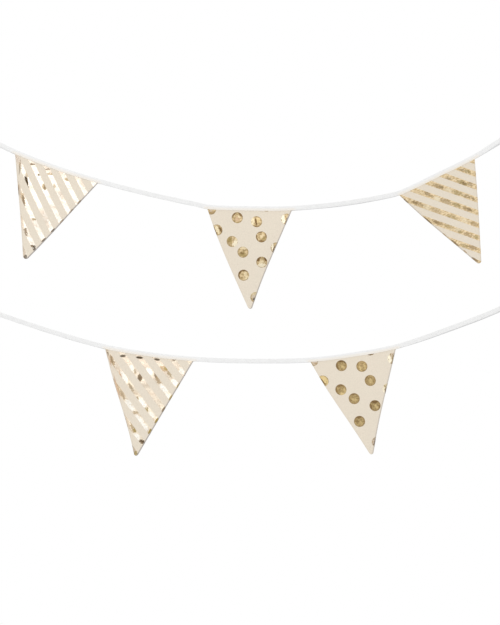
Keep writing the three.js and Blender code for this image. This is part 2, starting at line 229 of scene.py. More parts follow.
def whole_strip():
    """Stations of the whole strip, from one loop's tail through both swags to the other's."""
    first, last = turn_back(0, -1), turn_back(-1, 1)
    clear = (tape["at"] > loop_reach) & (tape["at"] < tape["at"][-1] - loop_reach)
    strip = {}
    for key in first:
        closing = last[key][::-1]
        if key in ("along", "normal"):
            closing = -closing
        strip[key] = np.concatenate([first[key], tape[key][clear], closing])
    reach = np.linalg.norm(np.diff(strip["place"], axis=0), axis=1)
    strip["at"] = np.concatenate([[0], np.cumsum(reach)])
    # away from the loops the leaves hang to uneven depths, and their edges wander
    from_end = np.minimum(strip["at"], strip["at"][-1] - strip["at"])
    settled = ease(from_end, 50 * MM, 80 * MM)
    wander = np.array([noise.noise(Vector((at * 22, 0, 0))) for at in strip["at"]])
    strip["near"] = strip["near"] * settled + edge_wander * wander * settled
    strip["far"] = strip["far"] * settled - edge_wander * wander * settled
    return strip


# The fold in millimetres, from its middle
leaf = 0.42  # how thick one leaf is
pinch = 0.78  # the share of it that is left under the stitches
stitch_height = -2.8
shut_gap = 0.05  # half the space between the leaves
head_gap = 0.58  # and what a flag's head adds to it


def leaf_gap(fill):
    """Half the space between the leaves, as far as a flag's head fills it."""
    return shut_gap + head_gap * fill


def fold_section(fill, near, far):
    """The folded strip's outline: out, up and place across the strip, and 1 on the inside."""
    gap = leaf_gap(fill)
    rows = []
    for side, foot in ((1, -half_tape - near / MM), (-1, -half_tape - far / MM)):
        outer = [
            (gap + leaf * 0.5, foot),
            (gap + leaf * 0.95, foot + 0.14),
            (gap + leaf * 1.08, foot + 0.5),
            (gap + leaf, foot + 1.1),
            (gap + leaf * pinch, stitch_height),
            (gap + leaf * 1.02, stitch_height + 0.8),
            (gap + leaf * 1.02, -0.4),
            (gap + leaf, 1.4),
            (gap * 0.85 + leaf, 2.8),
            (gap * 0.55 + leaf * 0.95, 3.7),
            (gap * 0.2 + leaf * 0.62, 4.3),
        ]
        inner = [
            (gap + leaf * 0.1, foot + 0.14),
            (gap, foot + 0.7),
            (gap * 0.95, stitch_height),
            (gap, stitch_height + 1),
            (gap, 0.4),
            (gap * 0.8, 2.6),
            (gap * 0.35, 4.1 - leaf * 0.8),
        ]
        outer = [(side * out, up, side * (up - half_tape), 0) for out, up in outer]
        inner = [(side * out, up, side * (up - half_tape), 1) for out, up in inner]
        rows.append((outer, inner))
    (near_outer, near_inner), (far_outer, far_inner) = rows
    crown, under_crown = (0, half_tape, 0, 0), (0, half_tape - leaf, 0, 1)
    return [*near_outer, crown, *far_outer[::-1], *far_inner, under_crown, *near_inner[::-1]]


def make_cloth(name, places, faces, spots, tints=None):
    """A closed piece as an object, with its points laid flat, in metres, as its UV map."""
    mesh = bpy.data.meshes.new(name)
    mesh.from_pydata([tuple(place) for place in places], [], faces)
    shell = bmesh.new()
    shell.from_mesh(mesh)
    bmesh.ops.recalc_face_normals(shell, faces=shell.faces)
    shell.to_mesh(mesh)
    shell.free()
    mesh.shade_smooth()
    corners = np.empty(len(mesh.loops), np.int32)
    mesh.loops.foreach_get("vertex_index", corners)
    if spots is not None:
        laid_flat = mesh.uv_layers.new(name="cloth")
        laid_flat.data.foreach_set("uv", np.asarray(spots, float)[corners].ravel())
    for label, values in (tints or {}).items():
        tint = mesh.attributes.new(label, "FLOAT", "POINT")
        tint.data.foreach_set("value", np.asarray(values, float))
    piece = bpy.data.objects.new(name, mesh)
    scene.collection.objects.link(piece)
    return piece


def make_strip(name, strip):
    """The folded strip as a closed mesh through its sections."""
    settings = zip(strip["fill"], strip["near"], strip["far"])
    sections = [fold_section(*setting) for setting in settings]
    count = len(sections[0])
    outline = np.array(sections)
    places = (
        strip["place"][:, None]
        + strip["normal"][:, None] * outline[:, :, :1] * MM
        + strip["width"][:, None] * outline[:, :, 1:2] * MM
    ).reshape(-1, 3)
    faces = []
    for i in range(len(sections) - 1):
        for j in range(count):
            k = (j + 1) % count
            near_ring, far_ring = i * count, (i + 1) * count
            faces.append((near_ring + j, near_ring + k, far_ring + k, far_ring + j))
    last = (len(sections) - 1) * count
    half = count // 2
    # each cut end is closed between the outer and the inner side of the fold
    for j in range(half - 1):
        quad = (j, j + 1, count - 2 - j, count - 1 - j)
        faces.append(quad)
        faces.append(tuple(last + v for v in quad[::-1]))
    spots = np.stack([np.repeat(strip["at"], count), outline[:, :, 2].ravel() * MM], 1)
    tints = {"over_flag": np.repeat(strip["fill"], count), "inside": outline[:, :, 3].ravel()}
    return make_cloth(name, places, faces, spots, tints)


class Dye:
    """A value in a material. Arithmetic on it adds Math nodes, and node() adds any other node."""

    def __init__(self, tree, socket=None):
        self.tree = tree
        self.socket = socket

    def node(self, kind, sockets=None, output=0, **settings):
        made = self.tree.nodes.new(kind)
        for name, value in settings.items():
            setattr(made, name, value)
        for name, value in (sockets or {}).items():
            if isinstance(value, Dye):
                self.tree.links.new(value.socket, made.inputs[name])
            else:
                made.inputs[name].default_value = value
        return Dye(self.tree, made.outputs[output])

    def math(self, operation, *values):
        return self.node("ShaderNodeMath", dict(enumerate((self, *values))), operation=operation)

    def __add__(self, other):
        return self.math("ADD", other)

    __radd__ = __add__

    def __sub__(self, other):
        return self.math("SUBTRACT", other)

    def __rsub__(self, other):
        return self * -1 + other

    def __mul__(self, other):
        return self.math("MULTIPLY", other)

    __rmul__ = __mul__

    def __truediv__(self, other):
        return self.math("DIVIDE", other)

    def eased(self, low, high):
        """0 at low, 1 at high, and a soft curve between them; low may be the larger."""
        limits = {"Value": self, "From Min": low, "From Max": high}
        return self.node("ShaderNodeMapRange", limits, interpolation_type="SMOOTHSTEP")

    def mixed(self, colour, other):
        """The first colour where this value is 0 and the other where it is 1."""
        pair = (c if isinstance(c, Dye) else (*c, 1) for c in (colour, other))
        sockets = {0: self, **dict(zip((6, 7), pair))}
        return self.node("ShaderNodeMix", sockets, output=2, data_type="RGBA")

    def cloud(self, scale, detail=2.0, colour=False):
        """Noise on this vector: a value about 0.5, or three of them as a colour."""
        sockets = {"Vector": self, "Scale": scale, "Detail": detail}
        return self.node("ShaderNodeTexNoise", sockets, output=1 if colour else 0)

    def tint(self, label):
        """A value that the cloth's mesh carries."""
        return self.node("ShaderNodeAttribute", output=2, attribute_name=label)


def new_finish(name):
    """A new material, its shader, and a start for its nodes."""
    finish = bpy.data.materials.new(name)
    finish.use_nodes = True
    return finish, finish.node_tree.nodes["Principled BSDF"], Dye(finish.node_tree)


def lay_flat(dye):
    """The cloth's own flat coordinates in millimetres, as a vector and as its two values."""
    laid_flat = dye.node("ShaderNodeUVMap", uv_map="cloth")
    flat = dye.node("ShaderNodeVectorMath", {0: laid_flat, "Scale": 1000}, operation="SCALE")
    first, second = (dye.node("ShaderNodeSeparateXYZ", {0: flat}, output=i) for i in (0, 1))
    return flat, first, second


def soak(shader, **sockets):
    """Sets or links the shader's sockets, with _ for a space in their names."""
    for name, value in sockets.items():
        socket = shader.inputs[name.replace("_", " ")]
        if isinstance(value, Dye):
            value.tree.links.new(value.socket, socket)
        else:
            socket.default_value = value


# White cotton on the bias: its threads cross the strip at 45 degrees
stitch_pitch = 2.6 * MM
tape_thread = 0.62
tape_cotton, shader, dye = new_finish("white_tape_cotton")
flat, run, across = lay_flat(dye)
threads = 2 * math.pi / tape_thread
weave = ((run + across) * threads).math("SINE") * ((run - across) * threads).math("SINE")
slub = flat.cloud(0.09, 3)
leaf_depth = across.math("ABSOLUTE")
white = slub.eased(0.3, 0.7).mixed((0.87, 0.87, 0.87), (0.90, 0.90, 0.90))
# the cream of a flag's head shows through the leaf, and the inside of the fold is painted grey as
# its shade
show_through = dye.tint("over_flag") * leaf_depth.eased(1.5, 7.5)
white = show_through.mixed(white, (0.915, 0.865, 0.795))
white = (dye.tint("inside") * 0.75).mixed(white, (0.64, 0.64, 0.65))
# the row of stitches draws the cloth in between each two of its holes
pucker = (run * (2 * math.pi * MM / stitch_pitch)).math("SINE")
pucker = pucker * leaf_depth.eased(4.4, 7.0) * leaf_depth.eased(9.6, 7.6)
height = weave * 0.12 + pucker * 0.35 + slub * 0.8
bump = dye.node("ShaderNodeBump", {"Strength": 0.6, "Distance": 0.0003, "Height": height})
soak(shader, Base_Color=white, Roughness=0.88, Normal=bump)
soak(shader, Specular_IOR_Level=0.2, Sheen_Weight=0.08, Sheen_Roughness=0.5)

strip = whole_strip()
binding = make_strip("binding_tape", strip)
binding.data.materials.append(tape_cotton)
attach(binding, "root")
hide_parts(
    "binding_upper", "binding_turn", "binding_lower", "end_loop_upper", "end_loop_lower"
)

# Stitches
# White polyester thread. A lockstitch row runs close to the open edge and shows on both sides,
# and two short rows across the tape hold down the tail of each end loop.
stitch_length = 1.9 * MM
thread_radius = 0.2 * MM
bar_share = 0.56  # of a stitch's length, and each end takes half of the rest
end_share = 0.22
end_dip = 1.3 * thread_radius
end_taper = 0.35
thread_stand = 0.06  # how far a stitch's middle stands off the cloth, in millimetres
row_margin = 3 * MM
tack_rows = (-5 * MM, 3 * MM)  # from where a loop runs into the tape
tack_stand = 0.55  # how far a tack's stitch stands off the middle of the fold, in millimetres
tack_heights = (-2.9, -0.95, 1, 2.95)
bpy.ops.object.select_all(action="DESELECT")
bpy.ops.mesh.primitive_cylinder_add(
    vertices=5, radius=thread_radius, depth=bar_share * stitch_length, end_fill_type="NGON"
)
stitch = bpy.context.object
stitch.rotation_euler = (0, math.pi / 2, 0)
bpy.ops.object.transform_apply(location=False)
# both ends of the bar dive into the cloth: x runs along the stitch and z out of the cloth
for way in (1, -1):
    bpy.ops.object.mode_set(mode="EDIT")
    bpy.ops.mesh.select_mode(type="FACE")
    bpy.ops.mesh.select_all(action="DESELECT")
    bpy.ops.object.mode_set(mode="OBJECT")
    for face in stitch.data.polygons:
        face.select = face.normal.x * way > 0.9
    bpy.ops.object.mode_set(mode="EDIT")
    dive = (way * end_share * stitch_length, 0, -end_dip)
    bpy.ops.mesh.extrude_region_move(TRANSFORM_OT_translate={"value": dive})
    bpy.ops.transform.resize(value=(1, end_taper, end_taper))
    bpy.ops.object.mode_set(mode="OBJECT")
stitch_corners = np.array([corner.co for corner in stitch.data.vertices])
# sorted, because extruding leaves the faces in another order on each run
stitch_sides = sorted(tuple(face.vertices) for face in stitch.data.polygons)
bpy.data.objects.remove(stitch)


def between(stations, at):
    """Place and directions between stations, at one distance along them or at an array of these."""
    found = {}
    for key in ("place", "along", "width", "normal"):
        columns = [np.interp(at, stations["at"], stations[key][:, i]) for i in range(3)]
        found[key] = np.stack(columns, -1)
        if key != "place":
            found[key] = unit(found[key])
    return found


sewn_corners, sewn_sides = [], []


def sew(centre, along, out):
    """Copies the stitch into the row, lying along one direction and standing out in another."""
    first = len(sewn_corners) * len(stitch_corners)
    sewn_corners.append(centre + stitch_corners @ np.stack([along, np.cross(out, along), out]))
    sewn_sides.extend(tuple(first + corner for corner in side) for side in stitch_sides)


strip_length = float(strip["at"][-1])
for distance in np.arange(row_margin, strip_length - row_margin, stitch_pitch):
    station = between(strip, distance)
    fill = np.interp(distance, strip["at"], strip["fill"])
    surface = (leaf_gap(fill) + leaf * pinch + thread_stand) * MM
    for side in (1, -1):
        out = station["normal"] * side
        centre = station["place"] + out * surface + station["width"] * stitch_height * MM
        sew(centre, station["along"], out)
# the tacks, on the front of the tape over each loop's tail
loop_stations = len(turn_back(0, -1)["fill"])
for inward in tack_rows:
    for end, side in ((loop_stations, 1), (-loop_stations - 1, -1)):
        station = between(strip, strip["at"][end] + inward * side)
        out = station["normal"] * side
        for up in tack_heights:
            centre = station["place"] + out * tack_stand * MM + station["width"] * up * MM
            sew(centre, station["width"], out)

thread_cotton, shader, dye = new_finish("white_thread")
strands = dye.node("ShaderNodeTexCoord", output=3).cloud(2600, 1)
thread_white = strands.eased(0.35, 0.65).mixed((0.8, 0.8, 0.79), (0.87, 0.87, 0.86))
soak(shader, Base_Color=thread_white, Roughness=0.6)
stitches = make_cloth("binding_stitches", np.concatenate(sewn_corners), sewn_sides, None)
stitches.data.materials.append(thread_cotton)
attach(stitches, "root")

# Flags
# Each is cut twice from natural cotton printed in gold foil, seamed down both long sides, turned
# right side out and pressed, so it is a thin two-layer envelope whose head is caught in the
# binding. A flag's own sizes are in millimetres, along it to the right and in depth.
half_seamed = 0.6  # half its thickness over the seam allowance
half_rim = 0.16  # and at the rim
seam_allowance = 6.2
tuck = 1.2  # how far its head stands above the tape's middle
point_rounding = 3.2
held_depth = 6 * MM  # the head hangs with the tape this far down
loosening = 20 * MM  # and the folds grow over this length below it


def measure_flag(flag):
    """Adds where the flag sits along the tape, its half width there and the way it hangs."""
    start, end = (row_at[row] for row in heads[flag["name"]])
    middle = between(tape, (start + end) / 2)
    facing = 1 if middle["along"][0] > 0 else -1
    front = middle["normal"] * facing
    hang = math.radians(flag["hang"])
    plumb = np.array([-math.sin(hang), 0, -math.cos(hang)])
    down = unit(plumb - front * (plumb @ front))
    measures = {"middle": (start + end) / 2, "half": (end - start) / 2, "facing": facing}
    return {**flag, **measures, "front": front, "down": down}


def edge_at(flag, side, depth):
    """Where the left edge, side -1, or the right one runs at a depth below the tape's middle."""
    spread, bow, wave, tip = (value * MM for value in flag["left" if side < 0 else "right"])
    share = (depth - half_height) / (flag["fall"] * MM - half_height)
    straight = (flag["half"] + spread) * (1 - share) + tip * share
    below = share > 0
    bent = straight + bow * 4 * share * (1 - share) + wave * np.sin(2 * math.pi * share)
    return side * np.where(below, bent, straight)


def relief(flag, along, depth):
    """How far the cloth stands out towards the viewer, in metres."""
    share = np.maximum(0, depth / (flag["fall"] * MM))
    across = along / flag["half"]
    belly, sway, curl = flag["stand"]
    rise = belly * np.sin(math.pi * share) * (1 - across**2)
    rise = rise + sway * across * share * 2 + curl * share**2
    a, d = along / MM, depth / MM
    for from_a, from_d, to_a, to_d, width, height in [*flag["folds"], *flag["creases"]]:
        run_a, run_d = to_a - from_a, to_d - from_d
        reach = math.hypot(run_a, run_d)
        travel = ((a - from_a) * run_a + (d - from_d) * run_d) / reach**2
        aside = ((a - from_a) * run_d - (d - from_d) * run_a) / reach
        ends = ease(travel, -0.15, 0.3) * (1 - ease(travel, 0.75, 1.15))
        rise = rise + height * ends * np.exp(-((aside / width) ** 2))
    return rise * ease(depth, held_depth, held_depth + loosening) * MM


def half_thickness(inset, depth, from_tip):
    """Rounded at the rim, full over the seam allowance and thinner inside it."""
    half = half_rim + (half_seamed - half_rim) * np.sqrt(np.clip(inset, 0, 1))
    half = half - 0.2 * ease(inset, seam_allowance - 0.7, seam_allowance + 0.9)
    # fuller at the point, where the allowances meet, and pressed thin in the head
    half = half + 0.16 * (1 - ease(from_tip, 4, 16)) * ease(inset, 0, 1.6)
    return np.minimum(half, 0.55) if depth < 6 else half


def close_envelope(wide, deep):
    """The faces of two layers of rows and columns, and of the rim that joins them."""
    faces = []
    for base in (0, wide * deep):
        for i in range(deep - 1):
            for j in range(wide - 1):
                a = base + i * wide + j
                faces.append((a, a + wide, a + wide + 1, a + 1))
    rim = list(range(wide - 1))
    rim += [i * wide + wide - 1 for i in range(deep - 1)]
    rim += [(deep - 1) * wide + j for j in range(wide - 1, 0, -1)]
    rim += [i * wide for i in range(deep - 1, 0, -1)]
    for i, a in enumerate(rim):
        b = rim[(i + 1) % len(rim)]
        faces.append((a, b, b + wide * deep, a + wide * deep))
    return faces


def make_flag(flag):
    """The flag as a closed envelope, its two layers rounded together at the seams."""
    fall = flag["fall"]
    # rows and columns, close together in the head, at the point and by the seams
    head = np.arange(-tuck, 8, 1.15)
    body = np.arange(8, fall - 8, 1.75)
    point = fall - np.array([7.6, 6.2, 5, 4, 3.1, 2.3, 1.6, 1.0, 0.5, 0.15, 0])
    depths = np.concatenate([head, body, point])
    insets = np.array([0, 0.22, 0.55, 1.0, 1.7, 2.7, 3.9, 5.2, 6.0, 6.8, 8.0])
    inner = np.linspace(0, 1, 62)[1:-1]
    places, spots, seams = [], [], []
    for layer in (1, -1):
        for depth in depths:
            left = float(edge_at(flag, -1, depth * MM)) / MM
            right = float(edge_at(flag, 1, depth * MM)) / MM
            blunt = max(0, (depth - (fall - point_rounding)) / point_rounding)
            keep = math.sqrt(max(0.06, 1 - blunt**2.2))
            centre = (left + right) / 2
            left, right = centre + (left - centre) * keep, centre + (right - centre) * keep
            # the seams' columns close up where the flag is narrower than 24 mm
            squeeze = min(1, (right - left) / 2 / 12)
            starts, ends = left + insets * squeeze, right - insets[::-1] * squeeze
            along = np.concatenate([starts, starts[-1] + (ends[0] - starts[-1]) * inner, ends])
            inset = np.minimum(along - left, right - along)
            from_tip = fall - depth
            inset = np.minimum(inset, np.maximum(0, from_tip) * 1.4)
            half = half_thickness(inset, depth, from_tip)
            tape_here = between(tape, flag["middle"] + along * MM * flag["facing"])
            out = tape_here["normal"]
            lead = unit(flag["down"] - out * (out @ flag["down"])[:, None])
            held = min(depth * MM, held_depth)
            stand = relief(flag, along * MM, depth * MM)
            row = (
                tape_here["place"]
                + lead * held
                + flag["down"] * (depth * MM - held)
                + flag["front"] * stand[:, None]
                + out * (layer * flag["facing"] * half * MM)[:, None]
            )
            # the cloth is never quite flat
            free = float(ease(depth, 8, 30))
            for i, x in enumerate(along):
                spot = Vector((x * 0.045, depth * 0.03, flag["seed"]))
                fine = Vector((x * 0.13, depth * 0.1, flag["seed"] + 5))
                lift = 0.5 * noise.noise(spot) + 0.13 * noise.noise(fine)
                row[i] = row[i] + flag["front"] * (lift * free * MM)
            places.extend(row)
            spots.extend((x * MM, depth * MM) for x in along)
            seams.extend(inset)
    faces = close_envelope(len(insets) * 2 + len(inner), len(depths))
    return make_cloth(flag["name"] + "_cloth", places, faces, spots, {"inset": seams})


# The print: gold foil in bars or in spots. Its tones are painted reflections: lighter where the
# metal throws the light back, darker where it is creased, cracked or turns away from the light; at
# the cracks the darkening is partly the foil's own.
spot_radius = 11
foil_edge = 0.3
# the foil's rims are painted darker, as shade where its raised edges turn away from the light
bar_rim = (3.6, 5.0)  # where a bar's foil is darker, from its middle
spot_rim = (8.2, 10.6)
cotton_thread = 0.55
# tones for the painted reflections, highlights and shade on the foil and at its seams
dark = (0.06, 0.04, 0.02)
brown = (0.20, 0.12, 0.05)
umber = (0.22, 0.16, 0.10)
tan = (0.42, 0.29, 0.15)
drab = (0.42, 0.325, 0.205)
olive = (0.34, 0.25, 0.09)
pink = (0.62, 0.42, 0.28)
blush = (0.69, 0.58, 0.47)
dull = (0.55, 0.47, 0.39)
bright = (0.90, 0.86, 0.78)
gold = (0.72, 0.56, 0.28)
pale = (0.82, 0.70, 0.47)
cream = (0.95, 0.87, 0.68)


def foil_bars(a, d, ragged, phase, pitch, width):
    """1 on the foil of 45 degree bars; phase is a - d in the middle of one of them."""
    bars_left = 20  # as many as could lie to the left of it, so no place is negative
    place = (a - d - phase + ragged) / pitch + (bars_left + 0.5)
    off = (place.math("FRACT") - 0.5).math("ABSOLUTE") * (pitch / math.sqrt(2))
    return off.eased(width / 2 + foil_edge, width / 2 - foil_edge), off


def foil_spots(flat, ragged, centres):
    """1 on the foil of round spots."""
    nearest = None
    for centre in centres:
        ends = {0: flat, 1: (*centre, 0)}
        distance = flat.node("ShaderNodeVectorMath", ends, output=1, operation="DISTANCE")
        nearest = distance if nearest is None else nearest.math("MINIMUM", distance)
    off = nearest + ragged
    return off.eased(spot_radius + foil_edge, spot_radius - foil_edge), off


def mark_foil(colour, flat, marks):
    """Lays soft ovals of other tones over a colour: painted reflections, highlights and shade."""
    for a, d, half_length, half_width, angle, tone, strength in marks:
        sockets = {
            "Vector": flat,
            "Location": (a, d, 0),
            "Rotation": (0, 0, math.radians(angle)),
            "Scale": (half_length, half_width, 1),
        }
        oval = flat.node("ShaderNodeMapping", sockets, vector_type="TEXTURE")
        reach = flat.node("ShaderNodeVectorMath", {0: oval}, output=1, operation="LENGTH")
        colour = (reach.eased(1.2, 0.75) * strength).mixed(colour, tone)
    return colour


def print_cloth(flag):
    """The flag's material: cotton, and foil with its colour, shine and fine creasing, and painted
    reflections, highlights and shade.
    """
    finish, shader, dye = new_finish(flag["name"] + "_print")
    flat, a, d = lay_flat(dye)
    ragged = (flat.cloud(0.8, 3) - 0.5) * 0.9
    if "bars" in flag:
        foil, off = foil_bars(a, d, ragged, *flag["bars"])
        rim = off.eased(*bar_rim)
    else:
        foil, off = foil_spots(flat, ragged, flag["spots"])
        rim = off.eased(*spot_rim)
    # cotton: thread by thread, with slubs and a few darker flecks
    threads = 2 * math.pi / cotton_thread
    weave = (a * threads).math("SINE") * (d * threads).math("SINE")
    fleck = flat.cloud(0.35, 4)
    cloth = fleck.eased(0.25, 0.75).mixed((0.791, 0.712, 0.594), (0.845, 0.76, 0.634))
    cloth = (flat.cloud(0.03).eased(0.35, 0.7) * 0.3).mixed(cloth, (0.81, 0.71, 0.60))
    # painted shade along the seams, where the cloth turns away from the light
    inset = dye.tint("inset")
    left_line, right_line = flag["edge_lines"]
    line = inset.eased(3.3, 1.7) * (left_line + a.eased(-2, 2) * (right_line - left_line))
    # foil: a broken sheet of metal, its reflections painted in as lighter and darker blotches
    turn = {"Vector": flat, "Rotation": (0, 0, math.radians(-45)), "Scale": (*flag["crush"], 1)}
    blotch = dye.node("ShaderNodeMapping", turn).cloud(1, 3)
    metal = blotch.eased(*flag["blotch"]).mixed(*flag["metal"])
    # painted shade at the foil's edges
    metal = (rim * flag["rim"]).mixed(metal, (0.30, 0.20, 0.09))
    drift = flat.cloud(0.22, 2, colour=True)
    centred = {0: drift, 1: (0.5, 0.5, 0.5)}
    shift = dye.node("ShaderNodeVectorMath", centred, operation="SUBTRACT")
    spread = {0: shift, 1: (5, 5, 5), 2: flat}
    wandering = dye.node("ShaderNodeVectorMath", spread, operation="MULTIPLY_ADD")
    # painted shade on the foil by the left seam, where it turns away from the light
    turned = inset.eased(8, 4) * a.eased(2, -2) * flag["turned"]
    metal = turned.mixed(metal, (0.50, 0.41, 0.31))
    # painted reflections: highlights where the foil throws the light back, dark where it is
    # creased, there partly its own cracking
    metal = mark_foil(metal, wandering, flag["marks"])
    # the seams' painted shade goes over both the cloth and the foil
    colour = line.mixed(foil.mixed(cloth, metal), (0.36, 0.33, 0.32))
    # painted reflections and shade where the foil turns over the seams and meets the tape
    colour = mark_foil(colour, flat, flag["edge_marks"])
    height = weave * 0.03 + fleck * 0.1 + foil * (flat.cloud(0.45, 3) * flag["crumple"])
    bump = dye.node("ShaderNodeBump", {"Strength": 1, "Distance": 0.001, "Height": height})
    roughness = 0.9 - foil * (0.9 - flag["shine"])
    soak(shader, Base_Color=colour, Metallic=foil * 0.95, Roughness=roughness, Normal=bump)
    soak(shader, Specular_IOR_Level=0.25)
    return finish


def sew_in(**flag):
    """Makes a flag, prints it and hangs it from the tape in place of its solid.

    Places are millimetres to the right of the head's middle and down from the tape's middle.
    fall, hang: the point's depth, and how far it swings to the left, in degrees
    left, right: each seamed edge's spread at the head, bow, wave and half width at the point
    stand: the whole flag's belly, sway and curl
    folds, creases: each one's two ends, width and height
    bars, spots: the bars' phase, pitch and width, or each spot's middle
    crush, blotch, metal: the scale, limits and two tones of the foil's painted reflection blotches,
    each flag's tones painted lighter or darker by how it meets the light
    rim, turned: how far painted shade darkens its foil's edges, and how far it darkens the foil by
    the left seam
    crumple, shine: its relief and roughness
    marks, edge_marks: each painted mark's middle, half length, half width, angle, tone and strength
    edge_lines: how dark the painted shade along the two seams is
    """
    flag = measure_flag(flag)
    cloth = make_flag(flag)
    cloth.data.materials.append(print_cloth(flag))
    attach(cloth, "root")
    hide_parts(flag["name"])
    width = float(edge_at(flag, 1, -tuck * MM) - edge_at(flag, -1, -tuck * MM))
    deep = flag["fall"] * MM + tuck * MM
    area = (width + (flag["left"][3] + flag["right"][3]) * MM) / 2 * deep


# Striped flags
# Gold bars about 10 mm wide run down to the right at 45 degrees. The two left-hand flags lean
# back and throw the light straight at the viewer, so their foil is painted nearly white as that
# reflected light, but for its creases. The right-hand one is tilted down and shows its gold.
sew_in(
    name="striped_flag_upper_left",
    fall=194.8,
    hang=17.5,
    left=(1, -1.2, 0.4, 3.8),
    right=(3, 0.8, -0.6, 4.2),
    stand=(4, -3, 3),
    folds=[(-70, 20, -22, 150, 13, -3), (10, 20, 2, 120, 18, 2)],
    creases=[
        (-73, 12, -36, 110, 4.5, -0.9),
        (-54, 14, -30, 100, 5, 0.7),
        (-30, 10, -4, 60, 5, 0.5),
        (50, 14, 20, 70, 7, -0.5),
    ],
    seed=3,
    bars=(-24.5, 33.2, 9.2),
    crush=(0.05, 0.14),
    blotch=(0.3, 0.6),
    metal=((0.72, 0.62, 0.51), (0.88, 0.82, 0.73)),
    rim=0.15,
    turned=0.85,
    crumple=0.25,
    shine=0.34,
    edge_lines=(0.12, 0.8),
    marks=[
        (0, 7, 80, 7, 0, blush, 0.8),
        (-79, 12, 14, 9, 0, dull, 0.9),
        (0, 95, 8, 7, 45, blush, 0.8),
        (32, 52, 9, 5, 45, blush, 0.9),
        (60, 14, 10, 5, 35, blush, 0.9),
        (18, 114, 10, 5, 45, blush, 0.8),
        (-47, 49, 17, 3.6, 61, dark, 1),
        (-52, 32, 8, 2.6, 62, drab, 0.9),
        (-43, 84, 19, 5.5, 62, tan, 0.75),
        (-41, 86, 13, 3, 62, umber, 0.9),
        (-69.5, 26, 15, 2.6, 69, drab, 0.7),
        (-49, 10.5, 7, 2, -20, umber, 1),
        (-14, 8.4, 8, 1.8, -18, umber, 0.8),
        (-7, 16, 9, 2.5, -15, drab, 1),
        (28, 15.6, 6.5, 3, 8, drab, 1),
        (-28.6, 26.4, 3.6, 3, 40, umber, 1),
        (-10, 45, 7.5, 5, 60, drab, 1),
        (-8, 47, 6, 2.4, 70, umber, 0.9),
        (9, 36.6, 5.5, 3, 50, drab, 0.8),
        (-7, 114, 7.5, 2, -10, drab, 1),
        (-15.5, 146, 12, 4.4, 68, umber, 0.9),
        (4, 166.5, 6, 2, -18, umber, 1),
        (11, 168.5, 5.5, 4.4, 60, dark, 0.9),
    ],
    edge_marks=[
        (-70.5, 25, 16, 1.2, 76, umber, 0.65),
        (-57, 71, 13, 1.4, 72, umber, 0.8),
        (66.5, 52, 6, 1.7, -65, umber, 0.8),
        (57, 74, 6, 1.7, -65, umber, 0.7),
        (45.5, 100, 6, 1.7, -65, umber, 0.7),
        (34.5, 123, 6, 1.8, -65, dark, 0.8),
        (23.5, 147, 6, 1.8, -65, dark, 0.8),
        (0, 190.5, 4.5, 3.4, 90, dark, 0.75),
    ],
)
